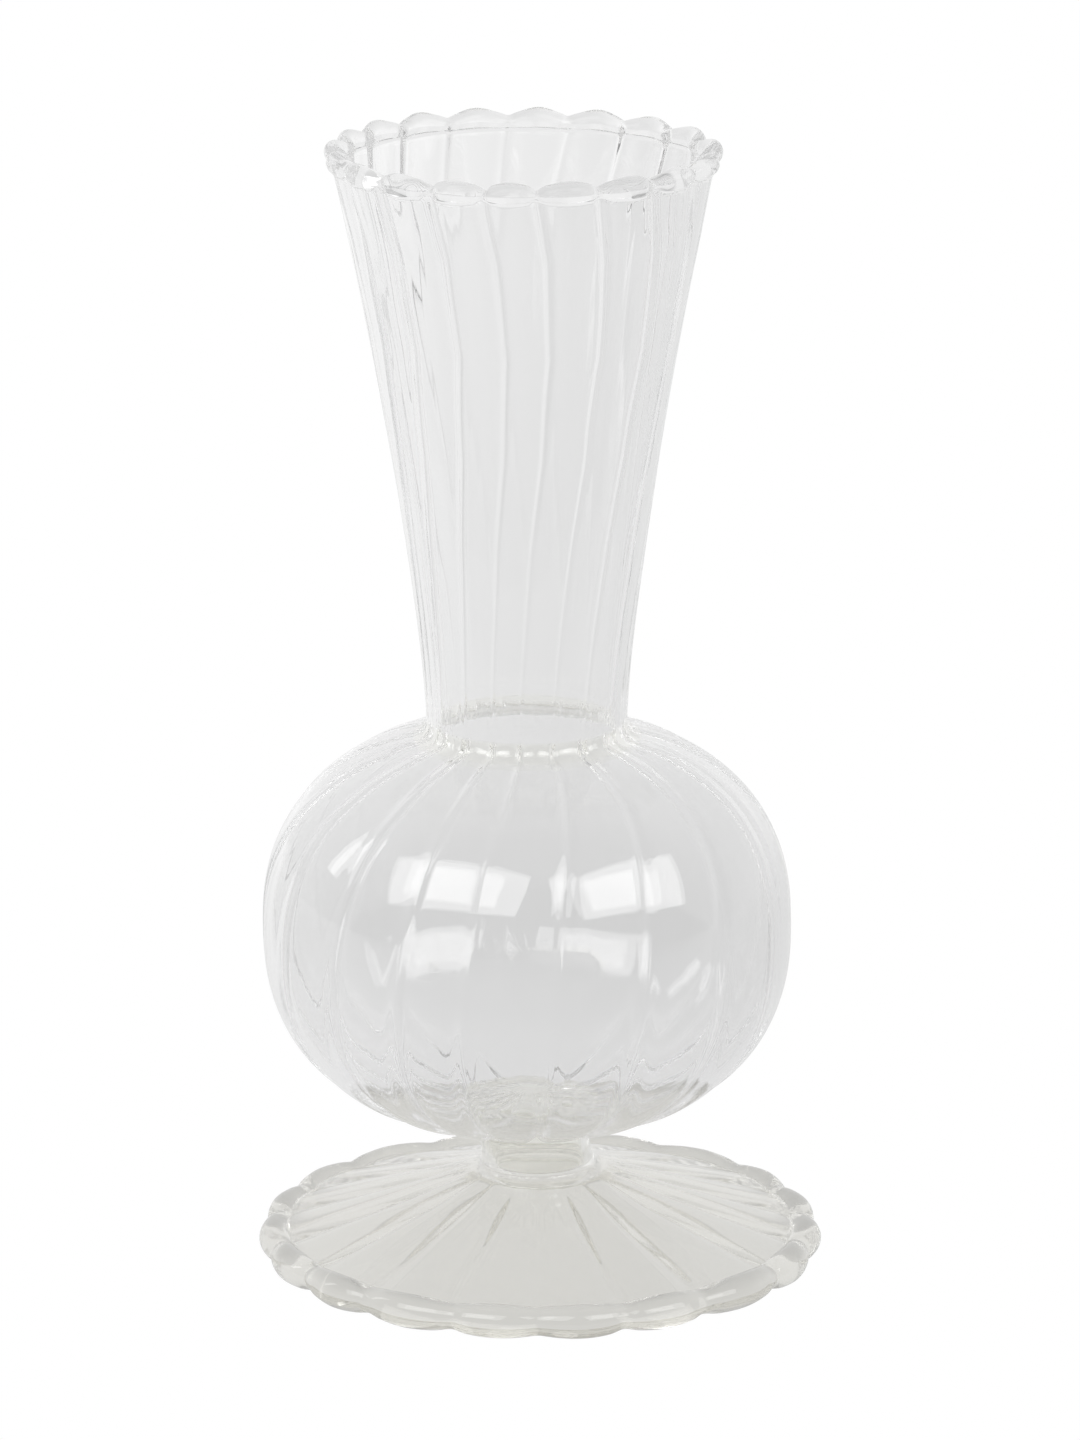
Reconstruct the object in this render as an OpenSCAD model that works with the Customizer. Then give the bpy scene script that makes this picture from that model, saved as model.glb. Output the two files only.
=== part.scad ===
// Glass bud vase: a trumpet neck, a round bulb, a short hollow stem and a ribbed foot,
// each worked by itself and fused to the next, edge to edge.
// Millimetres, +Z up, origin at the centre of the ring that the vase rests on.

/* [Overall] */
// Height from the resting ring to the top of the lip
vase_h = 150; // [125:1:190]
// Optic ribs round the vase, which are also the scallops of the lip and of the foot
rib_count = 19; // [12:1:24]

/* [Foot] */
// Diameter over the scallops of the foot
foot_d = 75; // [62:0.5:90]
// Height of the seat that the stem stands on
foot_h = 11.8; // [9:0.1:13]
// Wall of the foot plate, measured upright
foot_wall = 1.8; // [1.5:0.1:2.2]
// Height of the rim bead round the foot
rim_h = 4.1; // [3.4:0.1:5]
// Width of the flat ring under the rim bead
rest_w = 1.6; // [1.3:0.1:2]
// Depth of the scallops round the foot
foot_scallop = 1; // [0.8:0.1:1.2]
// Radius of the pinch between two scallops of the foot
foot_pinch_r = 3; // [2.5:0.1:3.6]
// How far inside the bead's centre the foot plate runs into it
rim_join = 1.5; // [1.2:0.1:1.6]
// How far the foot's ribs stand up from the plate
foot_rib_h = 0.5; // [0.4:0.05:0.6]
// Radius of a foot rib next to the stem
foot_rib_in_r = 0.8; // [0.65:0.05:0.95]
// Radius of a foot rib next to the rim bead
foot_rib_out_r = 1; // [0.85:0.05:1.05]

/* [Stem] */
// Outer diameter of the stem tube
stem_d = 15.2; // [12.5:0.1:18.5]
// Length of the stem tube
stem_h = 6.2; // [6:0.1:9]
// Wall of the stem tube
stem_wall = 1.5; // [1.2:0.1:1.8]

/* [Bulb] */
// Widest diameter of the bulb
bulb_d = 69.9; // [58:0.1:85]
// Height of the bulb's outline above its widest place
bulb_upper_h = 27.5; // [23:0.1:34]
// Height of the bulb's outline below its widest place
bulb_lower_h = 27.3; // [22:0.1:33]
// Fullness of the bulb's outline: 2 is an ellipse, more is squarer
bulb_fullness = 2.35; // [2:0.05:2.8]
// Wall of the bulb
bulb_wall = 1.3; // [1:0.1:1.6]
// Thickness of the glass button that closes the bulb
base_t = 3.2; // [2.6:0.1:3.9]
// How far the button spreads past the stem
base_w = 2.2; // [1.8:0.1:2.7]

/* [Neck] */
// Outer diameter of the neck where it joins the bulb
neck_d = 26.3; // [21.9:0.1:31.6]
// Wall of the neck
neck_wall = 1.3; // [1:0.1:1.6]
// How late the neck flares: 1 is a straight cone, more opens nearer the lip
neck_flare = 1.35; // [1:0.05:1.7]
// Height of the fused seal above the bulb
seal_h = 1.7; // [1.4:0.1:2.1]
// How far the fused seal spreads over the bulb
seal_w = 1.9; // [1.5:0.1:2.3]

/* [Lip] */
// Diameter over the scallops of the lip
mouth_d = 51.4; // [42:0.1:61]
// Thickness of the fire-polished bead round the lip
lip_bead_d = 2.6; // [2.1:0.1:3.1]
// Depth of the scallops round the lip
lip_scallop = 0.8; // [0.6:0.05:0.95]
// Radius of the pinch between two scallops of the lip
lip_pinch_r = 2; // [1.6:0.1:2.4]

/* [Hidden] */
$fn = 96;
clear_glass = [0.87, 0.90, 0.89, 0.4];
// Straight steps that a long curve and a fillet are drawn with
curve_steps = 22;
fillet_steps = 6;
rib_pitch = 360 / rib_count;
// How far a cutting rod or bore runs past what it cuts
overcut = 1;
// How far a rib on the foot plate stops short of the stem and of the bead
rib_end_gap = 0.5;
mouth_r = mouth_d / 2;
neck_r = neck_d / 2;
stem_r = stem_d / 2;
foot_r = foot_d / 2;

// The rim bead is a round rod, flattened below to a ring rest_w wide
rim_r = (pow(rim_h, 2) + pow(rest_w / 2, 2)) / (2 * rim_h);
rim_z = rim_h - rim_r;
rim_centre_r = foot_r - rim_r;
rim_half_chord = sqrt(pow(rim_r, 2) - pow(rim_join, 2));
plate_r = rim_centre_r - rim_join;
plate_edge_z = rim_z + rim_half_chord;

// The stack of stem, bulb and neck above the foot
bulb_bottom_z = foot_h + stem_h;
bulb_z = bulb_bottom_z + bulb_lower_h;
base_r = stem_r + base_w;
seal_r = neck_r + seal_w;
neck_z = bulb_z + crown(neck_r, 0) + seal_h;

// The neck's wall ends on a flat cut across the lip bead, as wide as the wall
lip_r = lip_bead_d / 2;
lip_centre_r = mouth_r - lip_r;
lip_centre_z = vase_h - lip_r;
lip_cut_z = lip_centre_z - sqrt(pow(lip_r, 2) - pow(neck_wall / 2, 2));
neck_top_r = lip_centre_r + neck_wall / 2;

// Half the bulb's outline, as a quarter of a superellipse inset by a wall
function lobe_h(r, half_h, inset) = (half_h - inset)
    * pow(1 - pow(r / (bulb_d / 2 - inset), bulb_fullness), 1 / bulb_fullness);
function crown(r, inset) = lobe_h(r, bulb_upper_h, inset);
function bowl(r, inset) = lobe_h(r, bulb_lower_h, inset);

// Angle along the outline at which it has radius r
function outline_angle(r, inset) = acos(pow(r / (bulb_d / 2 - inset), bulb_fullness / 2));
function outline_point(a, inset) = [
    (bulb_d / 2 - inset) * pow(cos(a), 2 / bulb_fullness),
    bulb_z + sign(a) * ((a > 0 ? bulb_upper_h : bulb_lower_h) - inset)
        * pow(abs(sin(a)), 2 / bulb_fullness)
];

// The bulb's wall from the seal's hole down to the button's hole
function bulb_side(inset) = let (
    top = outline_angle(seal_r, inset),
    bottom = -outline_angle(base_r, inset)
) [for (i = [0:2 * curve_steps]) outline_point(top + (bottom - top) * i / (2 * curve_steps), inset)];

// A curve from a to c that leaves and arrives along the lines through corner b
function bend(a, b, c) = [for (i = [0:fillet_steps]) let (t = i / fillet_steps)
    a * pow(1 - t, 2) + b * 2 * t * (1 - t) + c * pow(t, 2)];

function reversed(list) = [for (i = [len(list) - 1:-1:0]) list[i]];

function neck_radius(z) = neck_r
    + (neck_top_r - neck_r) * pow((z - neck_z) / (lip_cut_z - neck_z), neck_flare);

// One side of the neck, inset by its wall or by nothing
function neck_side(inset) = [for (i = [0:curve_steps])
    let (z = neck_z + (lip_cut_z - neck_z) * i / curve_steps) [neck_radius(z) - inset, z]];

// Upright rods round a bead of outer radius r: cut away, they pinch its edge between scallops
module pinches(r, depth, pinch_r, h) {
    for (i = [0:rib_count - 1])
        rotate((i + 0.5) * rib_pitch)
            translate([r + pinch_r - depth, 0, 0])
                cylinder(h = h, r = pinch_r);
}

// The rounded rod of a bead, cut flat inside radius from_r and below height from_z
module bead(centre_r, centre_z, bead_r, from_r, from_z) {
    rotate_extrude() intersection() {
        translate([centre_r, centre_z]) circle(r = bead_r);
        translate([from_r, from_z]) square([centre_r + bead_r - from_r, 2 * bead_r]);
    }
}

// Thick scalloped bead that the vase rests on
module foot_rim() {
    color(clear_glass) difference() {
        bead(rim_centre_r, rim_z, rim_r, plate_r, 0);
        translate([0, 0, -overcut])
            pinches(foot_r, foot_scallop, foot_pinch_r, rim_h + 2 * overcut);
    }
}

// One straight rib down the slope of the foot plate
module foot_rib() {
    from = [stem_r + rib_end_gap, foot_h - foot_rib_in_r + foot_rib_h];
    to = [plate_r - rib_end_gap, plate_edge_z - foot_rib_out_r + foot_rib_h];
    run = to - from;
    translate([from[0], 0, from[1]])
        rotate([0, 90 - atan2(run[1], run[0]), 0])
            cylinder(h = norm(run), r1 = foot_rib_in_r, r2 = foot_rib_out_r);
}

// Shallow cone, hollow below, with ribs that run out to the rim bead
module foot_plate() {
    color(clear_glass) {
        rotate_extrude() polygon([
            [0, foot_h - foot_wall],
            [stem_r, foot_h - foot_wall],
            [plate_r, plate_edge_z - foot_wall],
            [plate_r, plate_edge_z],
            [stem_r, foot_h],
            [0, foot_h]
        ]);
        for (i = [0:rib_count - 1])
            rotate((i + 0.5) * rib_pitch) foot_rib();
    }
}

// Short tube between the foot and the bulb
module stem() {
    color(clear_glass)
        translate([0, 0, foot_h]) difference() {
            cylinder(h = stem_h, r = stem_r);
            translate([0, 0, -overcut]) cylinder(h = stem_h + 2 * overcut, r = stem_r - stem_wall);
        }
}

// Thick button of glass that closes the bulb over the stem
module bulb_base() {
    edge_z = bulb_z - bowl(base_r, bulb_wall);
    top_z = bulb_bottom_z + base_t;
    color(clear_glass)
        rotate_extrude() polygon(concat(
            [[0, bulb_bottom_z], [stem_r, bulb_bottom_z], [base_r, bulb_z - bowl(base_r, 0)]],
            bend([base_r, edge_z], [base_r / 2, top_z], [0, top_z])
        ));
}

// Blown bulb, open above for the neck and below for the button
module bulb() {
    color(clear_glass)
        rotate_extrude() polygon(concat(bulb_side(0), reversed(bulb_side(bulb_wall))));
}

// Ring of fused glass where the neck meets the bulb, with a soft fillet outside and inside
module neck_seal() {
    bore_r = neck_r - neck_wall;
    outside = bend([neck_r, neck_z], [neck_r, bulb_z + crown(neck_r, 0)],
        [seal_r, bulb_z + crown(seal_r, 0)]);
    inside = bend([bore_r, neck_z], [bore_r, bulb_z + crown(bore_r, bulb_wall)],
        [seal_r, bulb_z + crown(seal_r, bulb_wall)]);
    color(clear_glass)
        rotate_extrude() polygon(concat(outside, reversed(inside)));
}

// Trumpet neck
module neck() {
    color(clear_glass)
        rotate_extrude() polygon(concat(neck_side(0), reversed(neck_side(neck_wall))));
}

// Fire-polished scalloped bead round the mouth
module lip_bead() {
    color(clear_glass) difference() {
        bead(lip_centre_r, lip_centre_z, lip_r, 0, lip_cut_z);
        pinches(mouth_r, lip_scallop, lip_pinch_r, vase_h + overcut);
    }
}

foot_rim();
foot_plate();
stem();
bulb_base();
bulb();
neck_seal();
neck();
lip_bead();
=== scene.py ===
import math

import bmesh
import bpy
import numpy as np
from mathutils import Euler, Matrix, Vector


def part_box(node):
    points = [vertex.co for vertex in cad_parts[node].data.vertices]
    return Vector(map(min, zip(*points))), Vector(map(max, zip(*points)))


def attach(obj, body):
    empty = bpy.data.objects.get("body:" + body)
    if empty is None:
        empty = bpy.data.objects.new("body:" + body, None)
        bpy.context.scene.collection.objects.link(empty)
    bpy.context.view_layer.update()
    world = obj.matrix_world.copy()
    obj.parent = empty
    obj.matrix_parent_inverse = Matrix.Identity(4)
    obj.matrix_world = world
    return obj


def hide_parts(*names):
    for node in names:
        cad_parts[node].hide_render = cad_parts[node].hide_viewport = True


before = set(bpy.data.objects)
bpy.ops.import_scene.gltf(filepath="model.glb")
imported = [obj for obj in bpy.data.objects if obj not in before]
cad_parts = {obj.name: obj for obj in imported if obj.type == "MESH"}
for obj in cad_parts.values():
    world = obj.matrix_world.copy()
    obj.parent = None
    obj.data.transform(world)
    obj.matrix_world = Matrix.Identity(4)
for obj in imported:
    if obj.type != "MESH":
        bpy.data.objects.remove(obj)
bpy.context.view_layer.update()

MM = 0.001

# Camera and studio. The vase stands on a plain pale table under two soft windows, high in front of
# it to the left and to the right and each brighter in the middle, with a narrow one further round
# on the left. The camera stands a metre away, above the lip, and looks down on the vase.
scene = bpy.context.scene
scene.view_settings.view_transform = "Standard"
# Light runs a long way inside a glass wall before it comes out
scene.cycles.max_bounces = 160
scene.cycles.transmission_bounces = 160
scene.cycles.glossy_bounces = 160
scene.cycles.transparent_max_bounces = 160

camera_data = bpy.data.cameras.new("camera")
camera_data.lens = 197.8
camera_data.sensor_width = 36
camera_data.clip_start = 0.01
camera = bpy.data.objects.new("camera", camera_data)
camera.location = (0.0011, -1.0, 0.3532)
camera.rotation_euler = (math.radians(90 - 15.65), 0, 0)
scene.collection.objects.link(camera)
scene.camera = camera


def node(tree, kind, inputs=(), **settings):
    """Adds a node to a tree. inputs gives each input socket a value, or another node's socket."""
    made = tree.nodes.new(kind)
    for name, value in settings.items():
        setattr(made, name, value)
    for name, value in dict(inputs).items():
        if isinstance(value, bpy.types.NodeSocket):
            tree.links.new(value, made.inputs[name])
        else:
            made.inputs[name].default_value = value
    return made


def srgb(code):
    """A colour written as #rrggbb, as linear red, green, blue and alpha."""
    parts = [int(code[i:i + 2], 16) / 255 for i in (1, 3, 5)]
    return *(c / 12.92 if c < 0.04045 else ((c + 0.055) / 1.055) ** 2.4 for c in parts), 1


# The studio: a pale sweep behind the vase and a dimmer room behind the camera. Where the camera
# looks past the vase the sweep is blank white.
world = bpy.data.worlds.new("studio_walls")
world.use_nodes = True
tree = world.node_tree
tree.nodes.clear()
seen = node(tree, "ShaderNodeLightPath").outputs["Is Camera Ray"]
way = node(tree, "ShaderNodeTexCoord").outputs["Generated"]
parts = node(tree, "ShaderNodeSeparateXYZ", {0: way})
back = node(tree, "ShaderNodeMapRange", {"Value": parts.outputs["Y"], "From Min": -0.3, "From Max": 0.5,
                                         "To Min": 0.28, "To Max": 0.90}, interpolation_type="SMOOTHSTEP")
walls = node(tree, "ShaderNodeBackground", {"Color": srgb("#ffffff"), "Strength": back.outputs[0]})
blank = node(tree, "ShaderNodeBackground", {"Color": srgb("#ffffff"), "Strength": 1.0})
mixed = node(tree, "ShaderNodeMixShader", {0: seen, 1: walls.outputs[0], 2: blank.outputs[0]})
node(tree, "ShaderNodeOutputWorld", {"Surface": mixed.outputs[0]})
scene.world = world


# A thin scrim dims the windows on the neck and the lip, so each lamp is there twice: at its full
# strength for the pieces of one collection, and dimmed for those of the other
window_lit = bpy.data.collections.new("window_lit")
scrim_lit = bpy.data.collections.new("scrim_lit")
SCRIM_SHARE = 0.25
# Metres from the window to the point in the bulb that it faces
WINDOW_DISTANCE = 0.9
WINDOW_AIM = (0, 0, 0.05)


def soft_window(name, azimuth, elevation, roll, width, height, watts):
    """A pair of area lamps, in degrees and metres: azimuth 0 is the camera's side, growing towards +X."""
    a, e = math.radians(azimuth), math.radians(elevation)
    out = np.array([math.sin(a) * math.cos(e), -math.cos(a) * math.cos(e), math.sin(e)])
    facing = Euler((math.radians(90 - elevation), 0, a)).to_matrix()
    for group, share in ((window_lit, 1.0), (scrim_lit, SCRIM_SHARE)):
        lamp = bpy.data.lights.new(name, "AREA")
        lamp.shape = "RECTANGLE"
        lamp.size, lamp.size_y = width, height
        lamp.energy = watts * share
        holder = bpy.data.objects.new(name, lamp)
        holder.location = out * WINDOW_DISTANCE + WINDOW_AIM
        holder.rotation_euler = (facing @ Matrix.Rotation(math.radians(roll), 3, "Z")).to_euler()
        holder.light_linking.receiver_collection = group
        scene.collection.objects.link(holder)


soft_window("window_left", -38, 41, 8, 0.95, 0.50, 3.4)
soft_window("window_left_pane", -40, 41, 8, 0.55, 0.34, 1.0)
soft_window("window_right", 52, 36, -8, 0.85, 0.50, 3.2)
soft_window("window_right_pane", 46, 36, -8, 0.45, 0.34, 0.8)
soft_window("window_narrow", -103, 30, 0, 0.12, 0.40, 0.35)

# The paper lies a hair below the foot's resting ring, so that no two faces lie together
paper_z = -0.0002
reach = 4.0
table_mesh = bpy.data.meshes.new("table_top")
table_mesh.from_pydata(
    [(x, y, paper_z) for x, y in ((-reach, -reach), (reach, -reach), (reach, reach), (-reach, reach))],
    [], [(0, 1, 2, 3)])
table_top = bpy.data.objects.new("table_top", table_mesh)
scene.collection.objects.link(table_top)
# The paper's emission paints light and shade for the glass to see; straight to the camera it is blank white
paper = bpy.data.materials.new("paper_painted_light_and_shadow")
paper.use_nodes = True
tree = paper.node_tree
tree.nodes.clear()
seen = node(tree, "ShaderNodeLightPath").outputs["Is Camera Ray"]
place = node(tree, "ShaderNodeNewGeometry").outputs["Position"]
parts = node(tree, "ShaderNodeSeparateXYZ", {0: place})
# Painted light and shade that the glass sees but the camera doesn't: paler away behind the vase and to the
# left, dimmer in front and to the right
back = node(tree, "ShaderNodeMapRange", {"Value": parts.outputs["Y"], "From Min": -0.05, "From Max": 0.6,
                                         "To Min": 0.80, "To Max": 0.92})
front = node(tree, "ShaderNodeMapRange", {"Value": parts.outputs["Y"], "From Min": -0.5, "From Max": -0.05,
                                          "To Min": 0.6, "To Max": 1.0})
side = node(tree, "ShaderNodeMapRange", {"Value": parts.outputs["X"], "From Min": -0.10, "From Max": 0.10,
                                         "To Min": 1.08, "To Max": 0.92})
level = node(tree, "ShaderNodeMath", {0: back.outputs[0], 1: side.outputs[0]}, operation="MULTIPLY")
level = node(tree, "ShaderNodeMath", {0: level.outputs[0], 1: front.outputs[0]}, operation="MULTIPLY")
# A narrow painted shadow on the paper, where the foot's rim would keep the light off it. The foot stands a
# little to the right of the vase's axis.
FOOT_OFFSET = 1.1 * MM
painted_shadow_r = 0.0352
painted_shadow_reach = 0.0045
foot_place = node(tree, "ShaderNodeVectorMath", {0: place, 1: (-FOOT_OFFSET, 0, 0)}, operation="ADD")
from_axis = node(tree, "ShaderNodeVectorMath", {0: foot_place.outputs[0]}, operation="LENGTH")
past_rim = node(tree, "ShaderNodeMath", {0: from_axis.outputs["Value"], 1: painted_shadow_r}, operation="SUBTRACT")
off_rim = node(tree, "ShaderNodeMath", {0: past_rim.outputs[0]}, operation="ABSOLUTE")
painted_rim_shadow = node(tree, "ShaderNodeMapRange",
             {"Value": off_rim.outputs[0], "From Min": 0.0, "From Max": painted_shadow_reach,
              "To Min": 0.66, "To Max": 1.0},
             interpolation_type="SMOOTHSTEP")
level = node(tree, "ShaderNodeMath", {0: level.outputs[0], 1: painted_rim_shadow.outputs[0]}, operation="MULTIPLY")
painted_light = node(tree, "ShaderNodeEmission", {"Color": srgb("#ffffff"), "Strength": level.outputs[0]})
blank = node(tree, "ShaderNodeEmission", {"Color": srgb("#ffffff"), "Strength": 1.0})
mixed = node(tree, "ShaderNodeMixShader", {0: seen, 1: painted_light.outputs[0], 2: blank.outputs[0]})
node(tree, "ShaderNodeOutputMaterial", {"Surface": mixed.outputs[0]})
table_mesh.materials.append(paper)

# Foot rim. The thick bead round the foot, where the edge of the ribbed plate was melted back on
# itself: clear borosilicate, drawn in at each crease, so that it swells into lobes between them.
RIBS = 19
PITCH = 360 / RIBS
# Degrees from +X towards +Y of the first crease, before the ribs' lean turns it
FIRST_CREASE = -100.5
# Columns of points to a rib. The power that they are spaced by crowds them towards the creases.
COLUMNS = 24
CROWDING = 1.7
# Millimetres that each piece stops short of a seam, so that no two faces lie together
HAIR = 0.01


def box_mm(name):
    """The lowest and the highest corner of a CAD piece's box, in millimetres."""
    return [np.array(corner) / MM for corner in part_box(name)]


def bend(a, b, c, steps):
    """Points on a curve from a to c that leaves and arrives along the lines through corner b."""
    t = np.linspace(0, 1, steps)[:, None]
    return (np.array(a) * (1 - t) ** 2 + 2 * np.array(b) * t * (1 - t) + np.array(c) * t ** 2).tolist()


def line(a, b, steps):
    """Points on a straight line, without its ends."""
    t = np.linspace(0, 1, steps + 2)[1:-1, None]
    return (np.array(a) * (1 - t) + np.array(b) * t).tolist()


def ease(x):
    """0 below 0, 1 above 1 and a smooth rise between."""
    x = min(max(x, 0.0), 1.0)
    return x * x * (3 - 2 * x)


# What a ring holds, in order
RADIUS, HEIGHT, PRESS_OUT, PRESS_UP, SWELL_OUT, SWELL_UP, TURN, WIDTH, WAVE, LINES = range(10)


def ring(r, z, press=(0, 0), swell=(0, 0), turn=0.0, width=0.07, wave=0.25, lines=0.0):
    """One level of a turned outline: its radius and height, how far the creases press in and the
    crowns between them swell out, as (radial, upward) steps, how far it is turned, how wide a
    crease is as a share of the rib, and how high its slow waves and its fine lines are."""
    return np.array([r, z, *press, *swell, turn, width, wave, lines], dtype=float)


def mix(a, b, share):
    """A ring between two others."""
    return a * (1 - share) + b * share


def blend_rings(path, start, end):
    """Rings along a path of radii and heights, with one ring's relief at its start easing to another's."""
    rings = []
    for k, spot in enumerate(path):
        step = mix(start, end, ease(k / (len(path) - 1)))
        step[:2] = spot
        rings.append(step)
    return rings


def fluting():
    """Tree of the optic ribs. Each point lies somewhere across a rib, with the crease at 0. The
    creases press the glass in, the crowns between them swell it out, slow waves and fine lines
    make it uneven, as hand-worked glass is, and everything is turned to follow the ribs' lean.
    Then the vase is bent a little off its axis, and nothing is left below the table."""
    tree = bpy.data.node_groups.new("optic_ribs", "GeometryNodeTree")
    face = tree.interface
    face.new_socket("Geometry", in_out="INPUT", socket_type="NodeSocketGeometry")
    for name in ("Waves Per Metre", "Lines Round", "Wander", "Foot Offset", "Bulb Offset", "Lip Lean"):
        face.new_socket(name, in_out="INPUT", socket_type="NodeSocketFloat")
    face.new_socket("Seed", in_out="INPUT", socket_type="NodeSocketInt")
    face.new_socket("Glass", in_out="INPUT", socket_type="NodeSocketMaterial")
    face.new_socket("Seam", in_out="INPUT", socket_type="NodeSocketMaterial")
    face.new_socket("Geometry", in_out="OUTPUT", socket_type="NodeSocketGeometry")
    given = node(tree, "NodeGroupInput").outputs
    kept = {}
    for name in ("across", "strength", "turn", "width", "wave", "lines"):
        kept[name] = node(tree, "GeometryNodeInputNamedAttribute", {"Name": name},
                          data_type="FLOAT").outputs[0]
    for name in ("press", "swell"):
        kept[name] = node(tree, "GeometryNodeInputNamedAttribute", {"Name": name},
                          data_type="FLOAT_VECTOR").outputs[0]
    seam = node(tree, "GeometryNodeInputNamedAttribute", {"Name": "seam"}, data_type="BOOLEAN").outputs[0]
    # How deep the crease is here: a bell curve across it, deeper on some ribs than on others
    share = node(tree, "ShaderNodeMath", {0: kept["across"], 1: kept["width"]}, operation="DIVIDE")
    square = node(tree, "ShaderNodeMath", {0: share.outputs[0], 1: share.outputs[0]}, operation="MULTIPLY")
    fall = node(tree, "ShaderNodeMath", {0: square.outputs[0], 1: -1}, operation="MULTIPLY")
    bell = node(tree, "ShaderNodeMath", {0: fall.outputs[0]}, operation="EXPONENT")
    depth = node(tree, "ShaderNodeMath", {0: bell.outputs[0], 1: kept["strength"]}, operation="MULTIPLY")
    # How far up the crown this is: 1 midway between two creases, -1 at a crease
    angle = node(tree, "ShaderNodeMath", {0: kept["across"], 1: 2 * math.pi}, operation="MULTIPLY")
    cosine = node(tree, "ShaderNodeMath", {0: angle.outputs[0]}, operation="COSINE")
    crown = node(tree, "ShaderNodeMath", {0: cosine.outputs[0], 1: -1}, operation="MULTIPLY")
    pressed = node(tree, "ShaderNodeVectorMath", {0: kept["press"], "Scale": depth.outputs[0]},
                   operation="SCALE")
    swollen = node(tree, "ShaderNodeVectorMath", {0: kept["swell"], "Scale": crown.outputs[0]},
                   operation="SCALE")
    moved = node(tree, "ShaderNodeVectorMath", {0: pressed.outputs[0], 1: swollen.outputs[0]},
                 operation="ADD")
    # Slow waves of the hand: the noise's colours move the glass outward, round and upward
    place = node(tree, "GeometryNodeInputPosition").outputs[0]
    waves = node(tree, "ShaderNodeTexNoise",
                 {"Vector": place, "W": given["Seed"], "Scale": given["Waves Per Metre"], "Detail": 1.0},
                 noise_dimensions="4D")
    centred = node(tree, "ShaderNodeVectorMath", {0: waves.outputs["Color"], 1: (0.5, 0.5, 0.5)},
                   operation="SUBTRACT")
    wave = node(tree, "ShaderNodeVectorMath", {0: centred.outputs[0], "Scale": kept["wave"]},
                operation="SCALE")
    total = node(tree, "ShaderNodeVectorMath", {0: moved.outputs[0], 1: wave.outputs[0]}, operation="ADD")
    # Fine lines: a noise that changes quickly round the glass and slowly along it
    flat = node(tree, "ShaderNodeVectorMath", {0: place, 1: (1, 1, 0)}, operation="MULTIPLY")
    radius = node(tree, "ShaderNodeVectorMath", {0: flat.outputs[0]}, operation="LENGTH")
    safe = node(tree, "ShaderNodeMath", {0: radius.outputs["Value"], 1: 1e-6}, operation="MAXIMUM")
    inverse = node(tree, "ShaderNodeMath", {0: given["Lines Round"], 1: safe.outputs[0]}, operation="DIVIDE")
    spoke = node(tree, "ShaderNodeVectorMath", {0: flat.outputs[0], "Scale": inverse.outputs[0]},
                 operation="SCALE")
    tall = node(tree, "ShaderNodeVectorMath", {0: place, 1: (0, 0, 25)}, operation="MULTIPLY")
    spot = node(tree, "ShaderNodeVectorMath", {0: spoke.outputs[0], 1: tall.outputs[0]}, operation="ADD")
    fine = node(tree, "ShaderNodeTexNoise", {"Vector": spot.outputs[0], "W": given["Seed"], "Scale": 1.0,
                                             "Detail": 1.0}, noise_dimensions="4D")
    level = node(tree, "ShaderNodeMath", {0: fine.outputs["Fac"], 1: 0.5}, operation="SUBTRACT")
    scored = node(tree, "ShaderNodeMath", {0: level.outputs[0], 1: kept["lines"]}, operation="MULTIPLY")
    # The sum is along the radius and upwards, so it becomes a stretch of x and y and a lift. Next to
    # the axis no point is drawn in by more than half its radius.
    steps = node(tree, "ShaderNodeSeparateXYZ", {0: total.outputs[0]})
    outward = node(tree, "ShaderNodeMath", {0: steps.outputs["X"], 1: scored.outputs[0]}, operation="ADD")
    ratio = node(tree, "ShaderNodeMath", {0: outward.outputs[0], 1: safe.outputs[0]}, operation="DIVIDE")
    limit = node(tree, "ShaderNodeMath", {0: ratio.outputs[0], 1: -0.5}, operation="MAXIMUM")
    stretch = node(tree, "ShaderNodeVectorMath", {0: flat.outputs[0], "Scale": limit.outputs[0]},
                   operation="SCALE")
    upward = node(tree, "ShaderNodeCombineXYZ", {"Z": steps.outputs["Z"]})
    shift = node(tree, "ShaderNodeVectorMath", {0: stretch.outputs[0], 1: upward.outputs[0]}, operation="ADD")
    shaped = node(tree, "ShaderNodeVectorMath", {0: place, 1: shift.outputs[0]}, operation="ADD")
    # The lean of the ribs, wandering a little
    parts = node(tree, "ShaderNodeSeparateXYZ", {0: centred.outputs[0]})
    wander = node(tree, "ShaderNodeMath", {0: parts.outputs["Y"], 1: given["Wander"], 2: kept["turn"]},
                  operation="MULTIPLY_ADD")
    turned = node(tree, "ShaderNodeVectorRotate", {"Vector": shaped.outputs[0], "Angle": wander.outputs[0]},
                  rotation_type="Z_AXIS")
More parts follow.
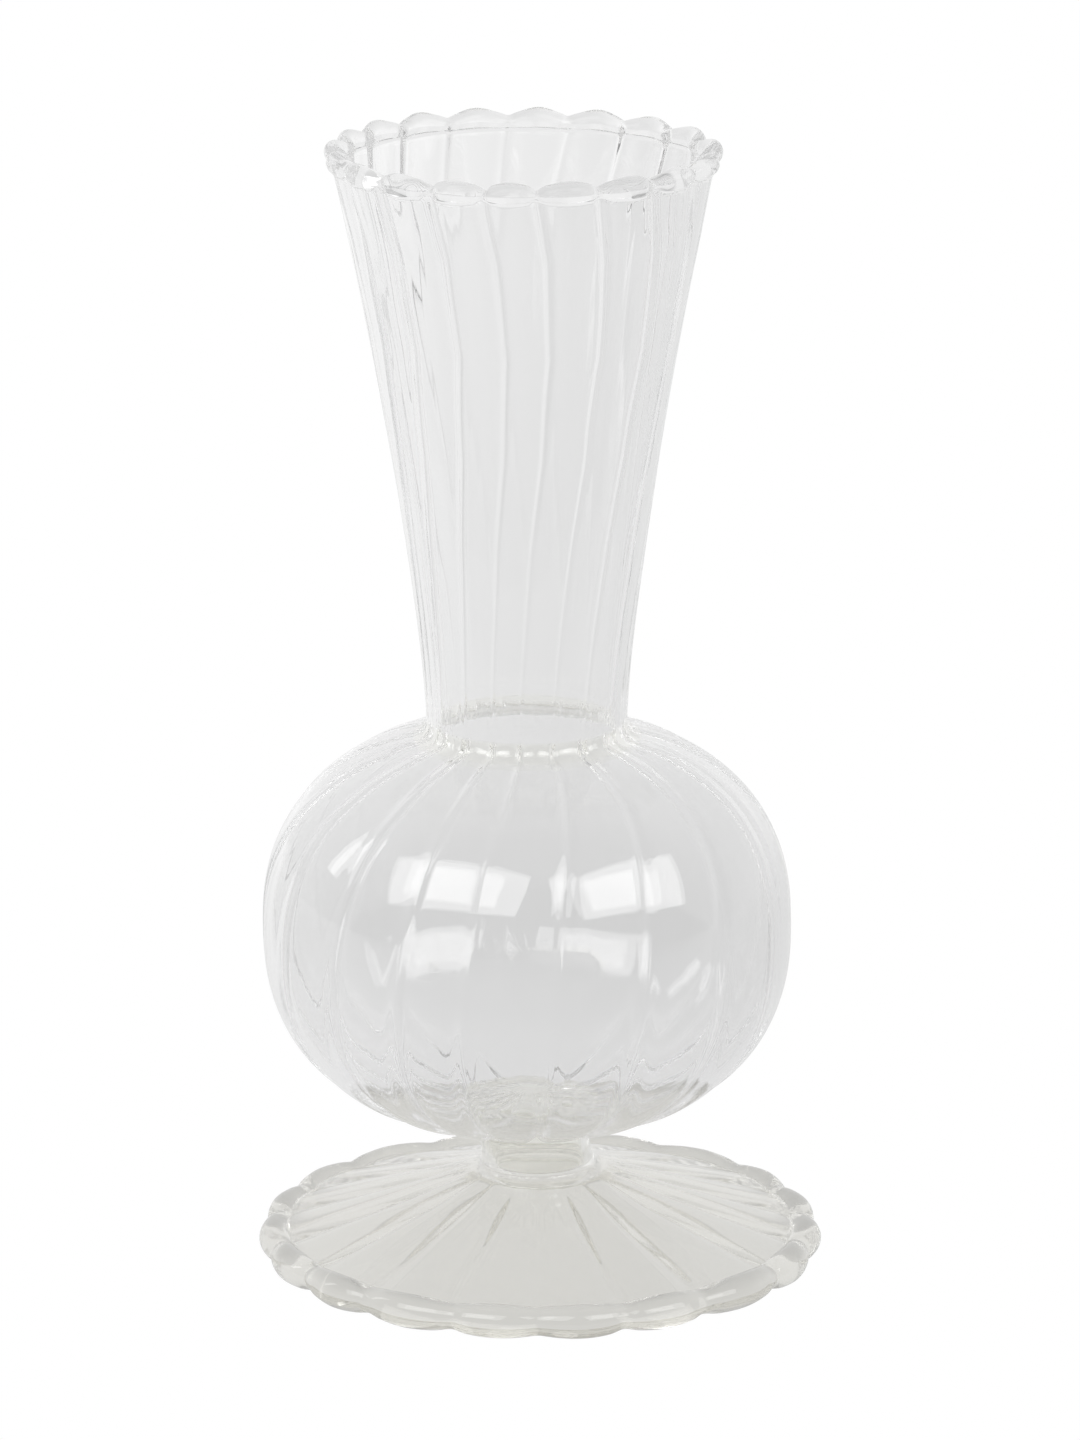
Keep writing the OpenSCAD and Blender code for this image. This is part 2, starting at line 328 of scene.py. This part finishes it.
    # The stem carries the bulb and the neck a little to the left of the foot, the neck leans further
    # the same way up to the lip, and nothing goes below the table
    stem_start, stem_end, lean_start, lean_end = 0.010, 0.021, 0.070, 0.150
    height = node(tree, "ShaderNodeSeparateXYZ", {0: turned.outputs[0]}).outputs["Z"]
    low = node(tree, "ShaderNodeMapRange",
               {"Value": height, "From Min": stem_start, "From Max": stem_end,
                "To Min": given["Foot Offset"], "To Max": given["Bulb Offset"]},
               interpolation_type="SMOOTHSTEP")
    high = node(tree, "ShaderNodeMapRange",
                {"Value": height, "From Min": lean_start, "From Max": lean_end,
                 "To Min": 0.0, "To Max": given["Lip Lean"]})
    aside = node(tree, "ShaderNodeMath", {0: low.outputs[0], 1: high.outputs[0]}, operation="ADD")
    lean = node(tree, "ShaderNodeCombineXYZ", {"X": aside.outputs[0]})
    leant = node(tree, "ShaderNodeVectorMath", {0: turned.outputs[0], 1: lean.outputs[0]}, operation="ADD")
    above = node(tree, "ShaderNodeVectorMath", {0: leant.outputs[0], 1: (-1, -1, 0)}, operation="MAXIMUM")
    put = node(tree, "GeometryNodeSetPosition",
               {"Geometry": given["Geometry"], "Position": above.outputs[0]})
    real = node(tree, "GeometryNodeRealizeInstances", {"Geometry": put.outputs[0]})
    clear = node(tree, "GeometryNodeSetMaterial", {"Geometry": real.outputs[0], "Material": given["Glass"]})
    fused = node(tree, "GeometryNodeSetMaterial",
                 {"Geometry": clear.outputs[0], "Selection": seam, "Material": given["Seam"]})
    node(tree, "NodeGroupOutput", {"Geometry": fused.outputs[0]})
    return tree


optic_ribs = fluting()


def blown(name, rings, seams, glass, strays, strengths):
    """Turns rings into a closed piece of glass. The rings go round the section, or from pole to pole
    where they start on the axis. seams are the stretches, by their first ring, where the piece is
    fused to its neighbour. strays are how many degrees each crease is out of its even place, and
    strengths are how deep it is next to the others."""
    rings = np.array(rings)
    even = np.arange(COLUMNS) / COLUMNS - 0.5
    shares = np.sign(even) * 0.5 * np.abs(2 * even) ** CROWDING
    across = np.tile(shares, RIBS)
    rib = np.repeat(np.arange(RIBS), COLUMNS)
    creases = FIRST_CREASE + PITCH * np.arange(-1, RIBS + 1) + np.array([strays[-1], *strays, strays[0]])
    reach_to = np.where(across < 0, creases[rib + 1] - creases[rib], creases[rib + 2] - creases[rib + 1])
    angles = np.radians(creases[rib + 1] + across * reach_to)
    strength = np.array(strengths)[rib]
    around = len(angles)
    on_axis = rings[:, RADIUS] == 0
    sizes = np.where(on_axis, 1, around)
    starts = np.concatenate([[0], np.cumsum(sizes)])
    level = np.repeat(np.arange(len(rings)), sizes)
    column = np.arange(starts[-1]) - starts[level]
    values = rings[level]
    points = np.stack([values[:, RADIUS] * np.cos(angles[column]),
                       values[:, RADIUS] * np.sin(angles[column]), values[:, HEIGHT]], 1) * MM
    faces, in_seam = [], []
    here, there = np.arange(around), (np.arange(around) + 1) % around
    for k in range(len(rings) - 1 if on_axis[0] else len(rings)):
        m = (k + 1) % len(rings)
        low = [starts[k] + here, starts[k] + there]
        high = [starts[m] + there, starts[m] + here]
        if on_axis[k]:
            low = [np.full(around, starts[k])]
        if on_axis[m]:
            high = [np.full(around, starts[m])]
        faces += np.stack(low + high, 1).tolist()
        in_seam += [k in seams] * around
    mesh = bpy.data.meshes.new(name)
    mesh.from_pydata(points, [], faces)
    flat = np.zeros(len(points))
    held = {"across": across[column], "strength": strength[column], "turn": np.radians(values[:, TURN]),
            "width": values[:, WIDTH], "wave": values[:, WAVE] * MM, "lines": values[:, LINES] * MM,
            "press": np.stack([values[:, PRESS_OUT], flat, values[:, PRESS_UP]], 1) * MM,
            "swell": np.stack([values[:, SWELL_OUT], flat, values[:, SWELL_UP]], 1) * MM}
    for key, data in held.items():
        vector = data.ndim == 2
        kept = mesh.attributes.new(key, "FLOAT_VECTOR" if vector else "FLOAT", "POINT")
        kept.data.foreach_set("vector" if vector else "value", data.ravel())
    mesh.attributes.new("seam", "BOOLEAN", "FACE").data.foreach_set("value", in_seam)
    # A seam's edges are sharp, so that its flat cut doesn't bend the light at the glass's surface
    ends = np.isin(np.arange(len(rings)), [m % len(rings) for k in seams for m in (k, k + 1)])
    pairs = np.empty(len(mesh.edges) * 2, dtype=np.int32)
    mesh.edges.foreach_get("vertices", pairs)
    levels = level[pairs.reshape(-1, 2)]
    sharp = ends[levels[:, 0]] & (levels[:, 0] == levels[:, 1])
    mesh.attributes.new("sharp_edge", "BOOLEAN", "EDGE").data.foreach_set("value", sharp)
    shell = bmesh.new()
    shell.from_mesh(mesh)
    bmesh.ops.recalc_face_normals(shell, faces=shell.faces)
    shell.to_mesh(mesh)
    shell.free()
    base = bpy.data.objects.new(name + "_base", mesh)
    scene.collection.objects.link(base)
    ribs = base.modifiers.new("optic_ribs", "NODES")
    ribs.node_group = optic_ribs
    inputs = {"Waves Per Metre": 45.0, "Lines Round": 14.0, "Wander": math.radians(4), "Seed": 4,
              "Foot Offset": FOOT_OFFSET, "Bulb Offset": -0.6 * MM, "Lip Lean": -0.4 * MM,
              "Glass": glass, "Seam": fused_seam}
    for socket in optic_ribs.interface.items_tree:
        if socket.in_out == "INPUT" and socket.name in inputs:
            ribs[socket.identifier] = inputs[socket.name]
    shaped = base.evaluated_get(bpy.context.evaluated_depsgraph_get())
    final = bpy.data.meshes.new_from_object(shaped)
    final.name = name
    final.shade_smooth()
    for key in (*held, "seam"):
        if key in final.attributes:
            final.attributes.remove(final.attributes[key])
    bpy.data.objects.remove(base)
    piece = bpy.data.objects.new(name, final)
    scene.collection.objects.link(piece)
    group = scrim_lit if name in ("neck_glass", "lip_bead_glass") else window_lit
    group.objects.link(piece)
    return piece


# Borosilicate glass, blown and fire-polished: quite clear, with a mirror-smooth skin that shows
# the windows sharply. Its tint is per wall crossed. Where it was worked longest in the flame its
# skin ripples slowly, and where it is still the drawn tube, fine lines run down it.
def borosilicate(name, tint, ripple, draw_lines):
    """ripple and draw_lines are how high the skin's unevenness is, in millimetres, and 0 for none."""
    made = bpy.data.materials.new(name)
    made.use_nodes = True
    tree = made.node_tree
    tree.nodes.clear()
    place = node(tree, "ShaderNodeTexCoord").outputs["Object"]
    slow = node(tree, "ShaderNodeTexNoise", {"Vector": place, "Scale": 170.0, "Detail": 1.5})
    flat = node(tree, "ShaderNodeVectorMath", {0: place, 1: (1, 1, 0)}, operation="MULTIPLY")
    spoke = node(tree, "ShaderNodeVectorMath", {0: flat.outputs[0]}, operation="NORMALIZE")
    tall = node(tree, "ShaderNodeVectorMath", {0: place, 1: (0, 0, 1.2)}, operation="MULTIPLY")
    spot = node(tree, "ShaderNodeVectorMath", {0: spoke.outputs[0], 1: tall.outputs[0]}, operation="ADD")
    fine = node(tree, "ShaderNodeTexNoise", {"Vector": spot.outputs[0], "Scale": 30.0, "Detail": 0.0})
    soft = node(tree, "ShaderNodeBump",
                {"Height": slow.outputs["Fac"], "Distance": ripple * MM, "Strength": 1.0})
    skin = node(tree, "ShaderNodeBump",
                {"Height": fine.outputs["Fac"], "Distance": draw_lines * MM, "Strength": 1.0,
                 "Normal": soft.outputs[0]})
    glass = node(tree, "ShaderNodeBsdfPrincipled",
                 {"Base Color": srgb(tint), "Roughness": 0.0, "IOR": 1.47, "Transmission Weight": 1.0,
                  "Normal": skin.outputs[0]})
    node(tree, "ShaderNodeOutputMaterial", {"Surface": glass.outputs[0]})
    return made


# Where two pieces are fused there is no surface left, so light goes straight through
fused_seam = bpy.data.materials.new("fused_seam")
fused_seam.use_nodes = True
tree = fused_seam.node_tree
tree.nodes.clear()
open_glass = node(tree, "ShaderNodeBsdfTransparent")
node(tree, "ShaderNodeOutputMaterial", {"Surface": open_glass.outputs[0]})

# A mould pressed the ribs into the foot's glass before it was spun out. It is thick, and its tint is the
# greyest: partly the glass's own, and partly painted shade that darkens the foot as the shaded table under it
# would.
foot_glass_tint_and_painted_shade = borosilicate("pressed_borosilicate_and_painted_shade", "#e9e8e3", 0.006, 0.0)
rim_high = box_mm("foot_rim")[1]
plate_high = box_mm("foot_plate")[1]
plate_r = plate_high[0]
# The bead's section, set in from the CAD's box by what its lobes swell out again
rim_r = 2.1
rim_centre = (rim_high[0] - rim_r - 0.35, rim_high[2] - rim_r - 0.05)
# Degrees that the foot is turned against the lip. Then, round from the first crease, how many
# degrees each is out of its even place, and how deep it is next to the others.
FOOT_TURN = -9.3
FOOT_STRAYS = (1.2, 0, 0, 0, 3, 2, 1, 0, -1.5, 1, 2, 0, -2, 1, 0, -1, 0.5, 0, -0.4)
FOOT_STRENGTHS = (1.0, 0.35, 1.1, 1.1, 1.0, 0.9, 0.8, 0.7, 0.6, 0.5,
                  0.6, 0.5, 0.6, 0.7, 0.8, 0.9, 1.0, 0.9, 0.8)


def rim_ring(angle):
    """The rim bead at an angle round its section, from the outward direction upwards."""
    c, s = math.cos(math.radians(angle)), math.sin(math.radians(angle))
    height = max(rim_centre[1] + rim_r * s, 0.05)
    return ring(rim_centre[0] + rim_r * c, height, (-0.30 - 0.15 * c, -0.28 * s),
                (0.14 + 0.14 * c, 0.14 * s), FOOT_TURN, 0.11, 0.8)


# Degrees round the bead's section between which the plate runs into it
SEAM_TOP, SEAM_UNDER = 132.0, 176.0
rim_rings = [rim_ring(a) for a in np.linspace(SEAM_TOP, SEAM_UNDER - 360, 64)]
foot_rim = blown("foot_rim_glass", rim_rings, [len(rim_rings) - 1], foot_glass_tint_and_painted_shade, FOOT_STRAYS,
                 FOOT_STRENGTHS)
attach(foot_rim, "root")
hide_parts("foot_rim")

# Foot plate. A shallow cone spun out of ribbed tube while hot, open below: its ribs fan out from
# the stem as flat panels with a narrow crease between them, and its edge runs into the rim bead.
stem_low, stem_high = box_mm("stem")
stem_r = stem_high[0]
stem_wall = 1.5
stem_bore = stem_r - stem_wall
# The plate's glass was drawn up a little into the stem, and its fillet spreads out below that
seat_z = stem_low[2] + 0.7
skirt_w = 2.4
# The CAD's ribs stand up from the plate, so its underside is found from their tops
rib_rise, plate_wall = 0.47, 1.8
roof_z = plate_high[2] - rib_rise - plate_wall
# Where the plate's relief turns into the rim bead's
rim_blend = 3.2


def plate_ring(r, z, top):
    """The creases fade in away from the stem and match the rim bead's where the plate meets it."""
    fade = ease((r - stem_r - 1) / 9)
    plain = ring(r, z, (0, -0.30 * fade if top else 0.10 * fade), (0, 0.10 * fade if top else 0), FOOT_TURN,
                 0.11, 0.25 + 0.55 * fade)
    edge = rim_ring(SEAM_TOP if top else SEAM_UNDER)
    edge[:2] = r, z
    return mix(plain, edge, ease((r - plate_r + rim_blend) / rim_blend))


top_edge, under_edge = rim_ring(SEAM_TOP)[:2], rim_ring(SEAM_UNDER)[:2]
slope = (stem_low[2] - top_edge[1]) / (top_edge[0] - stem_r)
skirt = (stem_r + skirt_w, stem_low[2] - slope * skirt_w)
top_path = [(0, stem_low[2] - 0.2)] + line((0, stem_low[2] - 0.2), (stem_bore - 1.8, stem_low[2] - 0.1), 4)
top_path += bend((stem_bore - 1.8, stem_low[2] - 0.1), (stem_bore, stem_low[2]), (stem_bore, seat_z), 8)
seat_seam = len(top_path) - 1
top_path += bend((stem_r, seat_z), (stem_r, skirt[1] + 0.75), skirt, 12)
top_path += line(skirt, top_edge, 70) + [(top_edge[0] - HAIR, top_edge[1])]
under_path = [(under_edge[0] - HAIR, under_edge[1])] + line(under_edge, (stem_r, roof_z), 70)
under_path += bend((stem_r, roof_z), (stem_r - 2, roof_z + 0.4), (1.0, roof_z + 0.45), 8)
under_path += [(0, roof_z + 0.45)]
plate_rings = [plate_ring(r, z, True) for r, z in top_path]
edge_seam = len(plate_rings) - 1
plate_rings += [plate_ring(r, z, False) for r, z in under_path]
foot_plate = blown("foot_plate_glass", plate_rings, [seat_seam, edge_seam], foot_glass_tint_and_painted_shade, FOOT_STRAYS,
                   FOOT_STRENGTHS)
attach(foot_plate, "root")
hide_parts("foot_plate")

# Stem. A short piece of thick tube, fused below to the foot plate and above to the bulb's button.
seal_glass = borosilicate("thick_borosilicate", "#f8f8f5", 0.006, 0.004)
foot_end, top_end = seat_z + HAIR, stem_high[2] - HAIR
# The tube was drawn in a little at its middle when it was fused on
waist = (stem_r - 0.35, (foot_end + top_end) / 2)
stem_path = bend((stem_r, foot_end), (waist[0], foot_end + 1.2), waist, 10)
stem_path += bend(waist, (waist[0], top_end - 1.2), (stem_r, top_end), 10)[1:]
top_seam = len(stem_path) - 1
stem_path += [(stem_bore, top_end)] + line((stem_bore, top_end), (stem_bore, foot_end), 10)
stem_path += [(stem_bore, foot_end)]
stem_rings = [ring(r, z, turn=FOOT_TURN) for r, z in stem_path]
stem = blown("stem_glass", stem_rings, [top_seam, len(stem_rings) - 1], seal_glass, FOOT_STRAYS,
             FOOT_STRENGTHS)
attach(stem, "root")
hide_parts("stem")

# Bulb button. A thick pad of glass, gathered where the bulb was closed, that the stem is fused to.
button_low, button_high = box_mm("bulb_base")
bulb_high = box_mm("bulb")[1]
bulb_r = bulb_high[0]
# Heights of the bulb's outline below and above its widest place, its power and its wall
bulb_lower_h, bulb_upper_h, fullness, wall = 27.3, 27.5, 2.35, 1.3
bulb_z = button_low[2] + bulb_lower_h
button_r = button_high[0]
seal_r = box_mm("neck_seal")[1][0]
# How far the ribs are turned where the neck is fused to the bulb, and how much further they lean
# down the bulb, most of it over the shoulder
SEAL_TURN, BULB_LEAN, LEAN_HEIGHT = -8.65, 11, 16
# Round from the first crease in front, how many degrees each is out of its even place all the way
# up from the button, and how deep it is on the bulb: strong in front and faint behind
STRAYS = (-1, -4, -4, -3, -1, 1, 3.5, 5, 5.5, 6, 6, 7, 6, 4, 2, 0, -1, -1, 0)
STRENGTHS = (2.0, 1.9, 2.0, 1.8, 1.4, 0.9, 0.6, 0.4, 0.4, 0.4,
             0.4, 0.4, 0.4, 0.4, 0.4, 0.5, 0.8, 1.3, 1.9)


def bulb_angle(r, inset):
    """The angle along the bulb's outline, a superellipse, at which it has radius r."""
    return math.acos((r / (bulb_r - inset)) ** (fullness / 2))


def bulb_ring(angle, inset):
    """The creases are about half as deep inside as outside, and the crowns of both faces swell alike.
    Below the middle, where the glass was stretched less, the creases are broader and deeper and the
    crowns are higher."""
    c, s = math.cos(angle), math.sin(angle)
    half = (bulb_upper_h if s > 0 else bulb_lower_h) - inset
    r = (bulb_r - inset) * abs(c) ** (2 / fullness)
    z = bulb_z + math.copysign(half * abs(s) ** (2 / fullness), s)
    low = ease((0.2 - s) / 1.1)
    deep = -0.15 - 0.20 * low if inset == 0 else -0.08 - 0.12 * low
    crown = 0.03 + 0.04 * low
    turn = SEAL_TURN - BULB_LEAN * (1 - math.exp(-max(bulb_high[2] - z, 0) / LEAN_HEIGHT))
    return ring(r, z, (deep * c, deep * s), (crown * c, crown * s), turn, 0.085 + 0.05 * low)


outer_edge = bulb_ring(-bulb_angle(button_r, 0), 0)
inner_edge = bulb_ring(-bulb_angle(button_r, wall), wall)
flat_z = button_low[2] + HAIR
stem_seat = ring(stem_r, flat_z, turn=FOOT_TURN)
# Over the stem's bore the glass is drawn up a little
bore_path = [(0, flat_z + 0.5)] + line((0, flat_z + 0.5), (stem_bore - 1.5, flat_z + 0.4), 5)
bore_path += bend((stem_bore - 1.5, flat_z + 0.4), (stem_bore, flat_z + 0.3), (stem_bore, flat_z), 6)
button_rings = [ring(r, z, turn=FOOT_TURN) for r, z in bore_path]
stem_seam = len(button_rings) - 1
side_path = bend(stem_seat[:2], (stem_r + 0.4, flat_z + 0.35), (button_r - HAIR, outer_edge[HEIGHT]), 12)
button_rings += blend_rings(side_path, stem_seat, outer_edge)
side_seam = len(button_rings) - 1
pole = ring(0, 0, turn=inner_edge[TURN])
over_path = bend((button_r - HAIR, inner_edge[HEIGHT]), (button_r / 2, button_high[2]),
                 (0, button_high[2]), 20)
button_rings += blend_rings(over_path, inner_edge, pole)
button = blown("bulb_button_glass", button_rings, [stem_seam, side_seam], seal_glass, STRAYS, STRENGTHS)
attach(button, "root")
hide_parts("bulb_base")

# Bulb. Blown out of ribbed tube: the ribs keep their number, so they fan out over the shoulder and
# are widest at the middle, and they lean as the tube was turned while it was blown.
blown_glass = borosilicate("blown_borosilicate", "#f6f6f6", 0.0, 0.004)
outside = [bulb_ring(a, 0) for a in np.linspace(-bulb_angle(button_r, 0), bulb_angle(seal_r, 0), 100)]
inside = [bulb_ring(a, wall) for a in np.linspace(bulb_angle(seal_r, wall), -bulb_angle(button_r, wall), 98)]
outside[-1][RADIUS] = inside[0][RADIUS] = seal_r + HAIR
bulb = blown("bulb_glass", outside + inside, [len(outside) - 1, len(outside) + len(inside) - 1],
             blown_glass, STRAYS, STRENGTHS)
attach(bulb, "root")
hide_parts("bulb")

# Neck seal. The ring where the neck was fused on to the bulb: glass that ran together into a soft
# fillet outside and inside, a little thicker than the walls that it joins.
neck_low, neck_high = box_mm("neck")
lip_high = box_mm("lip_bead")[1]
# The neck's radius where it starts, how late it flares, its radius at the top, which opened a
# little less than the CAD's, and the height where the lip bead's glass takes over
neck_r, neck_flare = 13.15, 1.335
neck_top_r = neck_high[0] - 0.4
lip_join = neck_high[2] - 1.0
# At these heights the creases press in this far outside and inside, and the crowns swell this far
neck_rows = (neck_low[2], 80, 95, 115, 132, 141, lip_join)
outer_creases = (0.0, -0.06, -0.12, -0.20, -0.28, -0.40, -0.55)
inner_creases = (0.0, -0.01, -0.02, -0.04, -0.06, -0.12, -0.40)
neck_crowns = (0.01, 0.01, 0.02, 0.04, 0.07, 0.19, 0.36)


def neck_ring(z, inset):
    """The creases are deepest at the lip and have gone where the neck meets the bulb."""
    share = max((z - neck_low[2]) / (neck_high[2] - neck_low[2]), 0)
    r = neck_r + (neck_top_r - neck_r) * share ** neck_flare - inset
    deep = np.interp(z, neck_rows, outer_creases if inset == 0 else inner_creases)
    crown = np.interp(z, neck_rows, neck_crowns)
    turn = np.interp(z, (73, 86, 100, 112, 126, 139, 147.5), (SEAL_TURN, -5.5, -2, 2.5, 5.5, 4, 0))
    lines = np.interp(z, (73, 85, 100, 140), (0.0, 0.01, 0.02, 0.02))
    return ring(r, z, (deep, 0), (crown, 0), turn, 0.06, 0.25, lines)


seal_top = neck_low[2] - HAIR
SEAL_STEPS = 18
seal_rings = []
for inset in (0, wall):
    shoulder = bulb_ring(bulb_angle(seal_r, inset), inset)
    collar = neck_ring(neck_low[2], inset)
    corner = bulb_ring(bulb_angle(neck_r - inset, inset), inset)[HEIGHT]
    path = bend((seal_r - HAIR, shoulder[HEIGHT]), (neck_r - inset, corner), (neck_r - inset, seal_top),
                SEAL_STEPS)
    part = blend_rings(path, shoulder, collar)
    # Between its two seams the ring is puckered where each rib runs into it
    for k, step in enumerate(part):
        middle = math.sin(math.pi * k / (SEAL_STEPS - 1))
        step[[PRESS_OUT, SWELL_OUT]] += -0.35 * middle, 0.12 * middle
    seal_rings += part if inset == 0 else part[::-1]
neck_seal = blown("neck_seal_glass", seal_rings, [SEAL_STEPS - 1, 2 * SEAL_STEPS - 1], seal_glass, STRAYS,
                  STRENGTHS)
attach(neck_seal, "root")
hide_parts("neck_seal")

# Neck. A trumpet drawn from ribbed tube and opened with a paddle while it was turned: the ribs lean
# one way and then the other, and fine draw lines run down it.
heights = np.linspace(neck_low[2] + HAIR, lip_join - HAIR, 90)
neck_rings = [neck_ring(z, 0) for z in heights] + [neck_ring(z, wall) for z in heights[::-1]]
# How deep each crease is on the neck and the lip. They may differ from the bulb's, because the
# neck's creases have gone where the two meet.
LIP_STRENGTHS = (1.5, 1.4, 1.4, 1.3, 1.0, 0.7, 0.5, 0.4, 0.4, 0.4,
                 0.4, 0.4, 0.5, 0.6, 0.8, 0.9, 1.2, 1.8, 1.8)
drawn_glass = borosilicate("drawn_borosilicate", "#fafafa", 0.0, 0.010)
neck = blown("neck_glass", neck_rings, [len(heights) - 1, len(neck_rings) - 1], drawn_glass, STRAYS,
             LIP_STRENGTHS)
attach(neck, "root")
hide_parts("neck")

# Lip bead. The mouth's edge, melted back in the flame to a round bead: surface tension thickened it
# into 19 lobes with a pinch between each two, where the ribs end. Its section is set in from the
# CAD's box by what the lobes swell out again.
lip_r = 1.28
lip_centre = (lip_high[0] - lip_r - 0.25, lip_high[2] - lip_r - 0.30)


def lip_ring(angle):
    """The lip bead at an angle round its section, from the outward direction upwards."""
    c, s = math.cos(math.radians(angle)), math.sin(math.radians(angle))
    return ring(lip_centre[0] + lip_r * c, lip_centre[1] + lip_r * s, (-0.50 - 0.10 * c, -0.10 - 0.40 * s),
                (0.36 + 0.04 * c, 0.14 + 0.22 * s), 0.0, 0.085, 0.25, 0.05)


# The bead's section stays open below, where each end runs down to a face of the neck's wall
rounds = [lip_ring(a) for a in np.linspace(-40, 220, 30)]
shanks = []
for start, end in ((neck_ring(lip_join, 0), rounds[0]), (neck_ring(lip_join, wall), rounds[-1])):
    path = bend(start[:2], (start[RADIUS] + 0.05, start[HEIGHT] + 0.5), end[:2], 8)
    shanks.append(blend_rings(path, start, end)[:-1])
lip_rings = shanks[0] + rounds + shanks[1][::-1]
lip_bead = blown("lip_bead_glass", lip_rings, [len(lip_rings) - 1], drawn_glass, STRAYS, LIP_STRENGTHS)
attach(lip_bead, "root")
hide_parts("lip_bead")
